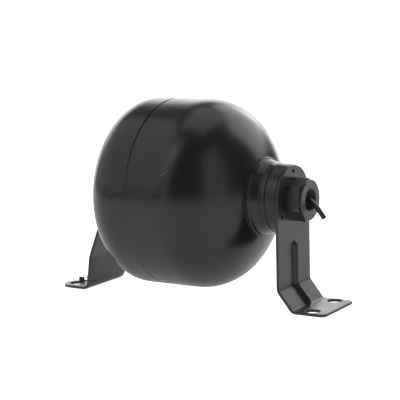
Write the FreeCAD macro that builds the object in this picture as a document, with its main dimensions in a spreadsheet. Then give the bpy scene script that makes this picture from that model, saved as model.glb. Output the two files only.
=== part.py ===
import FreeCAD, Part
import math
import os

import Sketcher

# Gas-charged hydraulic reservoir: a welded steel vessel lying on its side between two strap brackets.
# Millimetres. +X runs along the vessel towards its fluid port, +Y across it, +Z up.
# The origin is on the ground, under the middle of the whole reservoir.

DIMENSIONS = {
    # the vessel and its axis
    "axis_height": 76,
    "tank_radius": 68,
    "wall": 3,
    "seam_place": -18,
    "front_equator": 7.5,
    "front_knuckle": 42,
    "front_crown": 80.8,
    "rear_equator": -32,
    "rear_knuckle": 26,
    "rear_crown": 108.4,
    "neck_radius": 12,
    # the weld in the groove round the middle
    "seam_half_width": 0.7,
    "seam_depth": 1.2,
    "seam_sink": 0.4,
    # the clamp ring, the diaphragm and its button
    "clamp_half_width": 4,
    "clamp_height": 4,
    "bead_width": 5,
    "membrane_gap": 0.4,
    "membrane_thickness": 1.6,
    "membrane_hole": 10,
    "button_radius": 9.7,
    "button_thickness": 2.4,
    "button_gap": 0.5,
    "button_stem_radius": 4,
    "button_stem_length": 3,
    # the collars welded on the two ends
    "shank_bore": 10.1,
    "passage": 6.5,
    "shoulder": 2.4,
    "lip_radius": 28,
    "lip_width": 1.5,
    "lip_round": 1.2,
    "cone_radius": 26.8,
    "cone_end": 63.6,
    "collar_end_radius": 24.8,
    "collar_end": 67.5,
    "collar_chamfer": 0.7,
    "spacer_radius": 24,
    "spacer_step": 0.1,
    "rear_collar_radius": 26,
    "rear_collar_round": 1.6,
    "bead_size": 0.6,
    # both brackets
    "sheet": 2,
    "strap_width": 47.4,
    "ring_bore": 10.5,
    "weld_hole": 1.5,
    "weld_circle": 19.7,
    "nugget_height": 1.1,
    "bend_inside": 2.4,
    "foot_end": 112,
    "foot_hole": 5.25,
    "foot_corner": 4.2,
    # the front bracket
    "front_face": 77.5,
    "front_bend": 15.2,
    "kick_angle": 38.5,
    "front_hole_place": 99.9,
    "front_hole_half_pitch": 17,
    "rib_top": 47,
    "rib_height": 2.8,
    "rib_run_out": 4,
    "rib_width": 4.2,
    "rib_round": 1.3,
    # the rear bracket
    "rear_face": -73,
    "splay_top": 52,
    "splay_angle": 21.7,
    "knee_height": 25.4,
    "knee_round": 12,
    "lean_angle": 7.5,
    "rear_bend": 4,
    "rear_hole_place": -102.6,
    "ear_gap": 9.4,
    "ear_gap_end": -94.5,
    "ear_round": 9.3,
    # the port fitting in the front collar
    "hex_flats": 27,
    "hex_turn": 8.2,
    "hex_round": 15.2,
    "hex_bevel": 0.7,
    "hex_length": 11.2,
    "fitting_length": 13.2,
    "undercut_radius": 12.2,
    "undercut_width": 0.9,
    "flange_radius": 14.2,
    "flange_chamfer": 0.4,
    "port_radius": 7.6,
    "port_depth": 21,
    "port_chamfer": 0.6,
    "shank_radius": 10,
    "feed_radius": 4.2,
    "washer_inside": 6.8,
    "washer_outside": 9.8,
    "washer_thickness": 1.3,
    # the shipping plug in the port
    "plug_radius": 7.52,
    "plug_face": 4.2,
    "plug_length": 9,
    "plug_wall": 1.4,
    "plug_lead": 1,
    "tail_radius": 1.6,
    "tail_level": 2.6,
    "tail_bend": 5.5,
    "tail_droop": 44.5,
    "tail_run": 5,
    "tail_sweep": 14,
    "tail_curl": 8.3,
    "tail_end": 6.4,
    "tail_tip_round": 0.8,
    # the gas end in the rear collar
    "boss_hex_length": 4,
    "spigot_radius": 10.5,
    "spigot_length": 2.2,
    "screw_bore": 7,
    "screw_radius": 6.93,
    "screw_length": 7,
    "screw_head_radius": 8.8,
    "screw_head_length": 2.2,
    "socket_flats": 6,
    "screw_chamfer": 0.6,
    "screw_clearance": 1,
    "gas_bore": 2,
    "socket_depth": 2.6,
    "seal_inside": 7.1,
    "seal_thickness": 1,
    "seal_gap": 0.1,
    "cap_inside": 10.6,
    "cap_wall": 1.3,
    "cap_length": 6.8,
    "cap_rim": 1.2,
    "cap_gap": 0.3,
    # the spring clip on the rear foot
    "clip_sheet": 0.6,
    "clip_length": 5,
    "clip_finger": 3.4,
    "clip_reach": 3.6,
    "clip_hang": 1.6,
}

doc = FreeCAD.newDocument("reservoir")
sheet = doc.addObject("Spreadsheet::Sheet", "dims")
for row, (alias, value) in enumerate(DIMENSIONS.items(), start=1):
    sheet.set(f"A{row}", alias)
    sheet.set(f"B{row}", str(value))
    sheet.setAlias(f"B{row}", alias)
doc.recompute()


class Size:
    """A length or an angle that carries both its number and the formula that gives it from the sheet."""

    def __init__(self, number, formula):
        self.number = number
        self.formula = formula

    @staticmethod
    def of(value):
        return value if isinstance(value, Size) else Size(float(value), f"({value})")

    def join(self, other, sign, number):
        return Size(number, f"({self.formula} {sign} {other.formula})")

    def __add__(self, other):
        other = Size.of(other)
        return self.join(other, "+", self.number + other.number)

    def __sub__(self, other):
        other = Size.of(other)
        return self.join(other, "-", self.number - other.number)

    def __mul__(self, other):
        other = Size.of(other)
        return self.join(other, "*", self.number * other.number)

    def __truediv__(self, other):
        other = Size.of(other)
        return self.join(other, "/", self.number / other.number)

    def __neg__(self):
        return Size(-self.number, f"(0 - {self.formula})")


def dim(alias):
    return Size(float(sheet.get(alias)), f"dims.{alias}")


def root(size):
    return Size(math.sqrt(size.number), f"sqrt({size.formula})")


def sine(size):
    return Size(math.sin(math.radians(size.number)), f"sin({size.formula} * 1 deg)")


def cosine(size):
    return Size(math.cos(math.radians(size.number)), f"cos({size.formula} * 1 deg)")


def tangent(size):
    return Size(math.tan(math.radians(size.number)), f"tan({size.formula} * 1 deg)")


ZERO = Size(0.0, "0")
AXIS_HEIGHT = dim("axis_height")
parts = []


# ---------------------------------------------------------------- sketches and features


def origin_plane(body, role):
    return next(f for f in body.Origin.OriginFeatures if f.Role == role)


def new_sketch(body, role, name):
    sketch = body.newObject("Sketcher::SketchObject", name)
    sketch.AttachmentSupport = [(origin_plane(body, role), "")]
    sketch.MapMode = "FlatFace"
    return sketch


def bind(sketch, kind, where, size):
    index = sketch.addConstraint(Sketcher.Constraint(kind, *where, size.number))
    sketch.setExpression(f"Constraints[{index}]", size.formula)


def pin_point(sketch, geometry, end, u, v):
    """Hold one point of a sketch at (u, v)."""
    for axis, kind, size in ((-2, "DistanceX", u), (-1, "DistanceY", v)):
        if abs(size.number) < 1e-9:
            sketch.addConstraint(Sketcher.Constraint("PointOnObject", geometry, end, axis))
        else:
            bind(sketch, kind, (geometry, end), size)


def add_arc(sketch, start, end, radius, turn):
    """Add the shorter arc from start to end, turning left (+1) or right (-1), and name its two ends.

    A sketch counts an arc's ends anticlockwise, so one that turns right is added from its far end.
    """
    chord = end - start
    half = chord.Length / 2
    side = FreeCAD.Vector(-chord.y, chord.x, 0).normalize() * turn
    centre = (start + end) / 2 + side * math.sqrt(radius.number ** 2 - half ** 2)
    middle = centre - side * radius.number
    first, last = (start, end) if turn > 0 else (end, start)
    index = sketch.addGeometry(Part.Arc(first, middle, last))
    bind(sketch, "Radius", (index,), radius)
    return ((index, 1), (index, 2)) if turn > 0 else ((index, 2), (index, 1))


def draw_outline(sketch, outline):
    """A closed outline of points (u, v). A point (u, v, radius, turn) is reached by an arc."""
    places = [FreeCAD.Vector(p[0].number, p[1].number, 0) for p in outline]
    count = len(outline)
    ends = []
    for i, start in enumerate(places):
        following = (i + 1) % count
        if len(outline[following]) == 4:
            ends.append(add_arc(sketch, start, places[following], *outline[following][2:]))
        else:
            index = sketch.addGeometry(Part.LineSegment(start, places[following]))
            ends.append(((index, 1), (index, 2)))
    for i, (head, _) in enumerate(ends):
        sketch.addConstraint(Sketcher.Constraint("Coincident", *ends[i - 1][1], *head))
        pin_point(sketch, *head, outline[i][0], outline[i][1])


def draw_circle(sketch, u, v, radius):
    circle = Part.Circle(FreeCAD.Vector(u.number, v.number, 0), FreeCAD.Vector(0, 0, 1), radius.number)
    index = sketch.addGeometry(circle)
    bind(sketch, "Radius", (index,), radius)
    pin_point(sketch, index, 3, u, v)


def draw_hexagon(sketch, flats, turn):
    """A hexagon about the sketch's origin, turned by an angle, from its size across the flats."""
    corner = flats / Size(math.sqrt(3), "sqrt(3)")
    angles = [turn + 60 * k for k in range(6)]
    draw_outline(sketch, [(corner * cosine(a), corner * sine(a)) for a in angles])


def new_body(label, on_axis=True):
    """A sub-part's body. One that belongs to the vessel's axis has its own origin on that axis."""
    body = doc.addObject("PartDesign::Body", label)
    body.Label = label
    if on_axis:
        body.setExpression("Placement.Base.z", AXIS_HEIGHT.formula)
    parts.append(body)
    return body


def revolve(body, outline):
    """Turn an outline of (place along the axis, radius) points about the body's X axis."""
    sketch = new_sketch(body, "XZ_Plane", body.Name + "_outline")
    draw_outline(sketch, outline)
    turned = body.newObject("PartDesign::Revolution", body.Name + "_turned")
    turned.Profile = sketch
    turned.ReferenceAxis = (sketch, ["H_Axis"])
    turned.Angle = 360
    doc.recompute()
    return turned


def turned_part(label, outline):
    body = new_body(label)
    revolve(body, outline)
    return body


def extrude(body, role, name, draw, length, cut=False):
    """Pad or pocket a sketch both ways from its plane, over the whole length given."""
    before = body.Tip.Shape.Volume if cut else None
    sketch = new_sketch(body, role, name + "_sketch")
    draw(sketch)
    feature = body.newObject("PartDesign::Pocket" if cut else "PartDesign::Pad", name)
    feature.Profile = sketch
    feature.Midplane = True
    feature.setExpression("Length", length.formula)
    doc.recompute()
    if cut and not feature.Shape.Volume < before:
        raise RuntimeError(f"{name} cuts nothing")
    return feature


def round_edges(body, name, radius, chosen):
    """Round the edges of the body for which chosen(edge) is true."""
    base = body.Tip
    names = [f"Edge{i}" for i, e in enumerate(base.Shape.Edges, start=1) if chosen(e)]
    if not names:
        raise RuntimeError(f"{name} finds no edges")
    feature = body.newObject("PartDesign::Fillet", name)
    feature.Base = (base, names)
    feature.setExpression("Radius", radius.formula)
    doc.recompute()
    if feature.Shape.isNull():
        raise RuntimeError(f"{name} can't round its edges")
    return feature


def runs_along(edge, direction):
    """Whether an edge is straight and parallel to a direction."""
    if not isinstance(edge.Curve, Part.Line):
        return False
    return abs(abs(edge.Curve.Direction.dot(direction)) - 1) < 1e-6


def near_line(edge, direction, **place):
    """Whether an edge runs along a direction through the given coordinates."""
    middle = edge.CenterOfMass
    return runs_along(edge, direction) and all(abs(getattr(middle, k) - v) < 0.02 for k, v in place.items())


def passes(edge, x, z):
    """Whether the middle of an edge stands at (x, z) in the side view."""
    middle = edge.CenterOfMass
    return abs(middle.x - x) < 0.02 and abs(middle.z - z) < 0.02


ALONG_Y = FreeCAD.Vector(0, 1, 0)
ALONG_Z = FreeCAD.Vector(0, 0, 1)


# ---------------------------------------------------------------- the vessel


class Dome:
    """A pressed dished end: a knuckle and a flatter crown, tangent to each other."""

    def __init__(self, end, outward):
        self.outward = outward
        self.equator = dim(end + "_equator")
        self.knuckle = dim(end + "_knuckle")
        self.crown = dim(end + "_crown")
        self.knuckle_height = dim("tank_radius") - self.knuckle
        reach = self.crown - self.knuckle
        self.lean = root(reach * reach - self.knuckle_height * self.knuckle_height)
        self.reach = reach
        self.centre = self.equator - self.lean * outward

    def crown_place(self, radius, inset):
        """Where the crown, set in by inset, stands on the axis at a radius."""
        ball = self.crown - inset
        return self.centre + root(ball * ball - radius * radius) * self.outward

    def pole(self, inset):
        return self.centre + (self.crown - inset) * self.outward

    def blend(self, inset):
        """The point where knuckle and crown meet."""
        share = (self.crown - inset) / self.reach
        return self.centre + self.lean * share * self.outward, self.knuckle_height * share

    def outer_run(self, hole, inset):
        """From the equator over the knuckle and crown to the edge of the hole."""
        blend_place, blend_radius = self.blend(inset)
        turn = -self.outward
        return [
            (self.equator, dim("tank_radius") - inset),
            (blend_place, blend_radius, self.knuckle - inset, turn),
            (self.crown_place(hole, inset), hole, self.crown - inset, turn),
        ]

    def inner_run(self, hole, inset):
        """Back from the edge of the hole to the equator."""
        blend_place, blend_radius = self.blend(inset)
        turn = self.outward
        return [
            (self.crown_place(hole, inset), hole),
            (blend_place, blend_radius, self.crown - inset, turn),
            (self.equator, dim("tank_radius") - inset, self.knuckle - inset, turn),
        ]


FRONT = Dome("front", 1)
REAR = Dome("rear", -1)
TANK_RADIUS = dim("tank_radius")
WALL = dim("wall")
INSIDE_RADIUS = TANK_RADIUS - WALL
SEAM = dim("seam_place")


def make_shell(label, dome):
    """One half of the vessel, with half of the weld groove turned in its edge."""
    groove_side = SEAM + dim("seam_half_width") * dome.outward
    groove_floor = TANK_RADIUS - dim("seam_depth")
    outline = [(groove_side, TANK_RADIUS)]
    outline += dome.outer_run(dim("neck_radius"), ZERO)
    outline += dome.inner_run(dim("neck_radius"), WALL)
    outline += [(SEAM, INSIDE_RADIUS), (SEAM, groove_floor), (groove_side, groove_floor)]
    turned_part(label, outline)


def make_girth_weld():
    half = dim("seam_half_width")
    floor = TANK_RADIUS - dim("seam_depth")
    top = TANK_RADIUS - dim("seam_sink")
    turned_part(
        "girth_weld",
        [(SEAM - half, floor), (SEAM + half, floor), (SEAM + half, top), (SEAM - half, top)],
    )


def make_clamp_ring():
    half = dim("clamp_half_width")
    low = INSIDE_RADIUS - dim("clamp_height")
    turned_part(
        "clamp_ring",
        [(SEAM - half, low), (SEAM + half, low), (SEAM + half, INSIDE_RADIUS), (SEAM - half, INSIDE_RADIUS)],
    )


def make_diaphragm():
    """A rubber cup whose bead sits against the clamp ring and whose wall lies along the fluid-side dome."""
    bead_start = SEAM + dim("clamp_half_width")
    bead_end = bead_start + dim("bead_width")
    bead_low = INSIDE_RADIUS - dim("clamp_height")
    outside = WALL + dim("membrane_gap")
    inside = outside + dim("membrane_thickness")
    hole = dim("membrane_hole")
    outline = [(bead_start, bead_low), (bead_start, INSIDE_RADIUS), (bead_end, INSIDE_RADIUS)]
    outline += [(bead_end, TANK_RADIUS - outside)]
    outline += FRONT.outer_run(hole, outside)
    outline += FRONT.inner_run(hole, inside)
    outline += [(bead_end, TANK_RADIUS - inside), (bead_end, bead_low)]
    turned_part("diaphragm", outline)


def make_button():
    """The disc in the middle of the diaphragm that closes the port when the fluid is used up."""
    face = FRONT.pole(WALL) - dim("button_gap")
    back = face - dim("button_thickness")
    stem_end = back - dim("button_stem_length")
    radius = dim("button_radius")
    stem = dim("button_stem_radius")
    turned_part(
        "diaphragm_button",
        [(stem_end, ZERO), (stem_end, stem), (back, stem), (back, radius), (face, radius), (face, ZERO)],
    )


# ---------------------------------------------------------------- collars, welds and spacer


def make_port_collar():
    """The forged collar on the front dome: spigot, rounded lip, cone and a short land at the spacer."""
    neck = dim("neck_radius")
    lip = dim("lip_radius")
    inner_end = FRONT.pole(WALL)
    lip_start = FRONT.crown_place(lip, ZERO)
    lip_end = lip_start + dim("lip_width")
    lip_round = dim("lip_round")
    cone = dim("cone_radius")
    end = dim("collar_end")
    chamfer = dim("collar_chamfer")
    bore = dim("shank_bore")
    shoulder = inner_end + dim("shoulder")
    turned_part(
        "port_collar",
        [
            (inner_end, dim("passage")),
            (inner_end, neck),
            (FRONT.crown_place(neck, ZERO), neck),
            (lip_start, lip, FRONT.crown, 1),
            (lip_end, lip),
            (lip_end + lip_round, cone, lip_round, -1),
            (dim("cone_end"), dim("collar_end_radius")),
            (end - chamfer, dim("collar_end_radius")),
            (end, dim("collar_end_radius") - chamfer),
            (end, bore),
            (shoulder, bore),
            (shoulder, dim("passage")),
        ],
    )


def make_rear_collar():
    """The flatter weld boss on the rear dome."""
    neck = dim("neck_radius")
    rim = dim("rear_collar_radius")
    rim_round = dim("rear_collar_round")
    face = dim("rear_face") + dim("sheet")
    turned_part(
        "rear_collar",
        [
            (REAR.pole(WALL), dim("shank_bore")),
            (REAR.pole(WALL), neck),
            (REAR.crown_place(neck, ZERO), neck),
            (REAR.crown_place(rim, ZERO), rim, REAR.crown, -1),
            (face + rim_round, rim),
            (face, rim - rim_round, rim_round, 1),
            (face, dim("shank_bore")),
        ],
    )


def make_collar_weld(label, dome, rim):
    """The bead in the corner between a collar's rim and the dome."""
    size = dim("bead_size")
    foot_place = dome.crown_place(rim + size, ZERO)
    rim_place = dome.crown_place(rim, ZERO)
    turned_part(
        label,
        [
            (foot_place, rim + size),
            (rim_place, rim, dome.crown, -dome.outward),
            (rim_place + size * dome.outward, rim),
        ],
    )


def make_spacer():
    start = dim("collar_end")
    end = dim("front_face") - dim("sheet")
    chamfer = dim("collar_chamfer")
    radius = dim("collar_end_radius")
    bore = dim("ring_bore")
    turned_part(
        "front_spacer",
        [
            (start, bore),
            (start, radius - chamfer),
            (start + chamfer, radius - dim("spacer_step")),
            (end, dim("spacer_radius")),
            (end, bore),
        ],
    )


def make_plug_welds(label, back_face, outward):
    """Three weld nuggets, each at the bottom of one of the bracket's weld holes."""
    nuggets = []
    for index, angle in enumerate((90, 210, 330)):
        nugget = doc.addObject("Part::Cylinder", f"{label}_{index}")
        nugget.setExpression("Radius", "dims.weld_hole")
        nugget.setExpression("Height", "dims.nugget_height")
        start = back_face if outward > 0 else back_face - dim("nugget_height")
        turn = Size.of(angle)
        nugget.Placement = FreeCAD.Placement(FreeCAD.Vector(), FreeCAD.Rotation(ALONG_Y, 90))
        nugget.setExpression("Placement.Base.x", start.formula)
        nugget.setExpression("Placement.Base.y", (dim("weld_circle") * cosine(turn)).formula)
        nugget.setExpression("Placement.Base.z", (AXIS_HEIGHT + dim("weld_circle") * sine(turn)).formula)
        nuggets.append(nugget)
    group = doc.addObject("Part::Compound", label)
    group.Label = label
    group.Links = nuggets
    parts.append(group)


# ---------------------------------------------------------------- brackets

SHEET = dim("sheet")
STRAP_WIDTH = dim("strap_width")
HALF_STRAP = STRAP_WIDTH / 2
FAR = Size.of(400)


def round_the_head(body, name):
    """Cut the top of the strap to a half circle about the vessel's axis, and bore it."""

    def outside_the_head(sketch):
        clear = HALF_STRAP + 2
        top = AXIS_HEIGHT + clear
        draw_outline(
            sketch,
            [
                (-HALF_STRAP, AXIS_HEIGHT, HALF_STRAP, 1),
                (-clear, AXIS_HEIGHT),
                (-clear, top),
                (clear, top),
                (clear, AXIS_HEIGHT),
                (HALF_STRAP, AXIS_HEIGHT),
                (ZERO, AXIS_HEIGHT + HALF_STRAP, HALF_STRAP, 1),
            ],
        )

    def bores(sketch):
        draw_circle(sketch, ZERO, AXIS_HEIGHT, dim("ring_bore"))
        for angle in (90, 210, 330):
            turn = Size.of(angle)
            across = dim("weld_circle") * cosine(turn)
            up = AXIS_HEIGHT + dim("weld_circle") * sine(turn)
            draw_circle(sketch, across, up, dim("weld_hole"))

    extrude(body, "YZ_Plane", name + "_head", outside_the_head, FAR, cut=True)
    extrude(body, "YZ_Plane", name + "_bores", bores, FAR, cut=True)


def foot_holes(body, name, place, half_pitch):
    def circles(sketch):
        for side in (-1, 1):
            draw_circle(sketch, place, half_pitch * side, dim("foot_hole"))

    extrude(body, "XY_Plane", name + "_foot_holes", circles, FAR, cut=True)


def make_front_bracket():
    """A strap with a round head, bent out at two places to a foot, with a rib pressed down its middle."""
    face = dim("front_face")
    bend = dim("front_bend")
    kick = dim("kick_angle")
    rest = Size.of(90) - kick
    top = AXIS_HEIGHT + HALF_STRAP
    end = dim("foot_end")
    heel = face + (bend - SHEET) * tangent(kick)
    under_bend = bend - SHEET * tangent(kick / 2)
    under_heel = heel - SHEET * tangent(rest / 2)

    def side_view(sketch):
        draw_outline(
            sketch,
            [
                (face, top),
                (face, bend),
                (heel, SHEET),
                (end, SHEET),
                (end, ZERO),
                (under_heel, ZERO),
                (face - SHEET, under_bend),
                (face - SHEET, top),
            ],
        )

    body = new_body("front_bracket", on_axis=False)
    extrude(body, "XZ_Plane", "front_strap", side_view, STRAP_WIDTH)
    concave = [(face, bend), (heel, SHEET)]
    convex = [(face - SHEET, under_bend), (under_heel, ZERO)]
    for name, corners, radius in (
        ("front_inside_bends", concave, dim("bend_inside")),
        ("front_outside_bends", convex, dim("bend_inside") + SHEET),
    ):
        spots = [(x.number, z.number) for x, z in corners]
        round_edges(body, name, radius, lambda e: any(near_line(e, ALONG_Y, x=x, z=z) for x, z in spots))
    round_edges(
        body,
        "front_foot_corners",
        dim("foot_corner"),
        lambda e: near_line(e, ALONG_Z, x=end.number),
    )
    round_the_head(body, "front")
    foot_holes(body, "front", dim("front_hole_place"), dim("front_hole_half_pitch"))

    # the rib's ridge stands a constant height off the strap, so it meets the foot beyond the heel
    height = dim("rib_height")
    ridge = face + height
    ridge_bend = bend + height * tangent(kick / 2)
    ridge_end = heel + height * tangent(rest / 2) + height / tangent(rest)
    buried = SHEET / 2

    def rib_view(sketch):
        draw_outline(
            sketch,
            [
                (face, dim("rib_top")),
                (ridge, dim("rib_top") - dim("rib_run_out")),
                (ridge, ridge_bend),
                (ridge_end, SHEET),
                (heel, buried),
                (face - buried, bend),
                (face - buried, dim("rib_top") - dim("rib_run_out")),
            ],
        )

    extrude(body, "XZ_Plane", "front_rib", rib_view, dim("rib_width"))
    ridge_places = [(ridge, (dim("rib_top") - dim("rib_run_out") + ridge_bend) / 2)]
    ridge_places.append(((ridge + ridge_end) / 2, (ridge_bend + SHEET) / 2))
    spots = [(x.number, z.number) for x, z in ridge_places]
    round_edges(body, "front_rib_rounds", dim("rib_round"), lambda e: any(passes(e, x, z) for x, z in spots))


def make_rear_bracket():
    """The same strap, splayed out below the vessel to a knee, with a foot that ends in two rounded ears."""
    outer = dim("rear_face")
    inner = outer + SHEET
    splay = dim("splay_angle")
    lean = dim("lean_angle")
    top = AXIS_HEIGHT + HALF_STRAP
    end = -dim("foot_end")
    high = dim("splay_top")
    low = dim("knee_height")
    knee = outer - (high - low) * tangent(splay)
    leg = knee - (low - SHEET) * tangent(lean)

    # the strap's inner face, one sheet thickness inside the outer one at each bend
    inner_high = high - SHEET * tangent(splay / 2)
    mean = (splay + lean) / 2
    across = SHEET / cosine((splay - lean) / 2)
    inner_knee = knee + across * cosine(mean)
    inner_low = low - across * sine(mean)
    inner_leg = leg + SHEET * (Size.of(1) - sine(lean)) / cosine(lean)

    def side_view(sketch):
        draw_outline(
            sketch,
            [
                (outer, top),
                (outer, high),
                (knee, low),
                (leg, SHEET),
                (end, SHEET),
                (end, ZERO),
                (inner_leg, ZERO),
                (inner_knee, inner_low),
                (inner, inner_high),
                (inner, top),
            ],
        )

    body = new_body("rear_bracket", on_axis=False)
    extrude(body, "XZ_Plane", "rear_strap", side_view, STRAP_WIDTH)
    bends = (
        ("rear_inside_bends", dim("rear_bend"), [(outer, high), (leg, SHEET)]),
        ("rear_outside_bends", dim("rear_bend") + SHEET, [(inner, inner_high), (inner_leg, ZERO)]),
        ("rear_outer_knee", dim("knee_round") + SHEET, [(knee, low)]),
        ("rear_inner_knee", dim("knee_round"), [(inner_knee, inner_low)]),
    )
    for name, radius, corners in bends:
        spots = [(x.number, z.number) for x, z in corners]
        round_edges(body, name, radius, lambda e: any(near_line(e, ALONG_Y, x=x, z=z) for x, z in spots))
    round_the_head(body, "rear")

    half_gap = dim("ear_gap") / 2
    gap_end = dim("ear_gap_end") - half_gap

    def gap_between_ears(sketch):
        draw_outline(
            sketch,
            [
                (end - 1, -half_gap),
                (gap_end, -half_gap),
                (gap_end + half_gap, ZERO, half_gap, 1),
                (gap_end, half_gap, half_gap, 1),
                (end - 1, half_gap),
            ],
        )

    extrude(body, "XY_Plane", "rear_ear_gap", gap_between_ears, FAR, cut=True)
    round_edges(body, "rear_ear_rounds", dim("ear_round"), lambda e: near_line(e, ALONG_Z, x=end.number))
    ear_middle = (HALF_STRAP + half_gap) / 2
    foot_holes(body, "rear", dim("rear_hole_place"), ear_middle)
    return body


# ---------------------------------------------------------------- the port fitting and its plug


def add_hexagon(body, name, start, length, turn):
    """Put a spanner hexagon with turned-off corners round a body, from start along +X."""
    core = dim("undercut_radius") - 1
    sketch = new_sketch(body, "YZ_Plane", name + "_sketch")
    draw_hexagon(sketch, dim("hex_flats"), turn)
    draw_circle(sketch, ZERO, ZERO, core)
    sketch.setExpression("AttachmentOffset.Base.z", start.formula)
    grip = body.newObject("PartDesign::Pad", name)
    grip.Profile = sketch
    grip.setExpression("Length", length.formula)
    doc.recompute()
    before = grip.Shape.Volume

    corner = dim("hex_round")
    clear = dim("hex_flats")
    end = start + length
    bevel = dim("hex_bevel")
    outline = [
        (start - 1, corner - bevel),
        (start, corner - bevel),
        (start + bevel, corner),
        (end - bevel, corner),
        (end, corner - bevel),
        (end + 1, corner - bevel),
        (end + 1, clear),
        (start - 1, clear),
    ]
    cut_sketch = new_sketch(body, "XZ_Plane", name + "_corners_sketch")
    draw_outline(cut_sketch, outline)
    cut = body.newObject("PartDesign::Groove", name + "_corners")
    cut.Profile = cut_sketch
    cut.ReferenceAxis = (cut_sketch, ["H_Axis"])
    cut.Angle = 360
    doc.recompute()
    if not cut.Shape.Volume < before:
        raise RuntimeError(f"{name} has no turned corners")


def make_port_fitting():
    """A threaded adapter: shank through the bracket, hexagon, undercut and a round front flange."""
    face = dim("front_face")
    front = face + dim("fitting_length")
    hex_end = face + dim("hex_length")
    flange_back = hex_end + dim("undercut_width")
    chamfer = dim("flange_chamfer")
    flange = dim("flange_radius")
    port = dim("port_radius")
    port_floor = front - dim("port_depth")
    mouth = dim("port_chamfer")
    shank_end = FRONT.pole(WALL) + dim("shoulder") + dim("washer_thickness")

    body = turned_part(
        "port_fitting",
        [
            (shank_end, dim("feed_radius")),
            (shank_end, dim("shank_radius")),
            (face, dim("shank_radius")),
            (face, dim("undercut_radius")),
            (flange_back, dim("undercut_radius")),
            (flange_back, flange),
            (front - chamfer, flange),
            (front, flange - chamfer),
            (front, port + mouth),
            (front - mouth, port),
            (port_floor, port),
            (port_floor, dim("feed_radius")),
        ],
    )
    add_hexagon(body, "port_hexagon", face, dim("hex_length"), dim("hex_turn"))


def make_port_seal():
    start = FRONT.pole(WALL) + dim("shoulder")
    end = start + dim("washer_thickness")
    inside = dim("washer_inside")
    outside = dim("washer_outside")
    turned_part("port_seal", [(start, inside), (start, outside), (end, outside), (end, inside)])


def make_port_plug():
    """A thin-walled shipping plug pressed into the port by hand."""
    face = dim("front_face") + dim("fitting_length") - dim("plug_face")
    back = face - dim("plug_length")
    wall = dim("plug_wall")
    radius = dim("plug_radius")
    lead = dim("plug_lead")
    turned_part(
        "port_plug",
        [
            (back, radius - wall),
            (back, radius - lead),
            (back + lead, radius),
            (face - wall / 2, radius),
            (face, radius - wall / 2),
            (face, ZERO),
            (face - wall, ZERO),
            (face - wall, radius - wall),
        ],
    )


def draw_path(sketch, route):
    """An open line of points (u, v). A point (u, v, radius, turn) is reached by an arc."""
    places = [FreeCAD.Vector(p[0].number, p[1].number, 0) for p in route]
    last = None
    for start, end, point in zip(places, places[1:], route[1:]):
        if len(point) == 4:
            head, tail = add_arc(sketch, start, end, *point[2:])
        else:
            index = sketch.addGeometry(Part.LineSegment(start, end))
            head, tail = (index, 1), (index, 2)
        if last:
            sketch.addConstraint(Sketcher.Constraint("Coincident", *last, *head))
        else:
            pin_point(sketch, *head, *route[0])
        pin_point(sketch, *tail, *point[:2])
        last = tail


def make_pull_tail():
    """The plug's moulded tail, which hangs out over the port's rim and is pulled to draw the plug."""
    face = dim("front_face") + dim("fitting_length") - dim("plug_face")
    bend = dim("tail_bend")
    sweep = dim("tail_sweep")
    droop = dim("tail_droop")
    fall = droop + dim("tail_curl")

    route = [(face, ZERO)]
    place = face + dim("tail_level")
    route.append((place, ZERO))
    place = place + bend * sine(droop)
    height = bend * cosine(droop) - bend
    route.append((place, height, bend, -1))
    place = place + dim("tail_run") * cosine(droop)
    height = height - dim("tail_run") * sine(droop)
    route.append((place, height))
    place = place + sweep * (sine(fall) - sine(droop))
    height = height + sweep * (cosine(fall) - cosine(droop))
    route.append((place, height, sweep, -1))
    place = place + dim("tail_end") * cosine(fall)
    height = height - dim("tail_end") * sine(fall)
    route.append((place, height))

    body = new_body("pull_tail")
    path = new_sketch(body, "XZ_Plane", "tail_path")
    draw_path(path, route)
    section = new_sketch(body, "YZ_Plane", "tail_section")
    section.setExpression("AttachmentOffset.Base.z", face.formula)
    draw_circle(section, ZERO, ZERO, dim("tail_radius"))
    pipe = body.newObject("PartDesign::AdditivePipe", "tail_pipe")
    pipe.Profile = section
    pipe.Spine = (path, [])
    doc.recompute()
    ideal = math.pi * dim("tail_radius").number ** 2 * path.Shape.Length
    if abs(pipe.Shape.Volume / ideal - 1) > 0.02:
        raise RuntimeError("the pull tail's volume isn't its section times its length")
    tip = place.number
    round_edges(
        body,
        "tail_tip",
        dim("tail_tip_round"),
        lambda e: e.CenterOfMass.x > tip - 0.1 and isinstance(e.Curve, Part.Circle),
    )


# ---------------------------------------------------------------- the gas end


def make_charging_boss():
    """The gas-side neck piece: shank, hexagon and a short spigot that carries the cap."""
    face = dim("rear_face")
    hex_end = face - dim("boss_hex_length")
    spigot_end = hex_end - dim("spigot_length")
    bore_end = spigot_end + dim("screw_length") + dim("screw_clearance")
    gas_bore = dim("gas_bore")
    body = turned_part(
        "charging_boss",
        [
            (REAR.pole(WALL), gas_bore),
            (REAR.pole(WALL), dim("shank_radius")),
            (face, dim("shank_radius")),
            (face, dim("undercut_radius")),
            (hex_end, dim("undercut_radius")),
            (hex_end, dim("spigot_radius")),
            (spigot_end, dim("spigot_radius")),
            (spigot_end, dim("screw_bore")),
            (bore_end, dim("screw_bore")),
            (bore_end, gas_bore),
        ],
    )
    add_hexagon(body, "boss_hexagon", hex_end, dim("boss_hex_length"), Size.of(0))
    return spigot_end


def make_charging_seal(spigot_end):
    """The sealing ring under the charging screw's head, which turns with it."""
    start = spigot_end - dim("seal_gap")
    end = start - dim("seal_thickness")
    inside = dim("seal_inside")
    outside = dim("screw_head_radius")
    turned_part("charging_seal", [(start, inside), (start, outside), (end, outside), (end, inside)])


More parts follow.
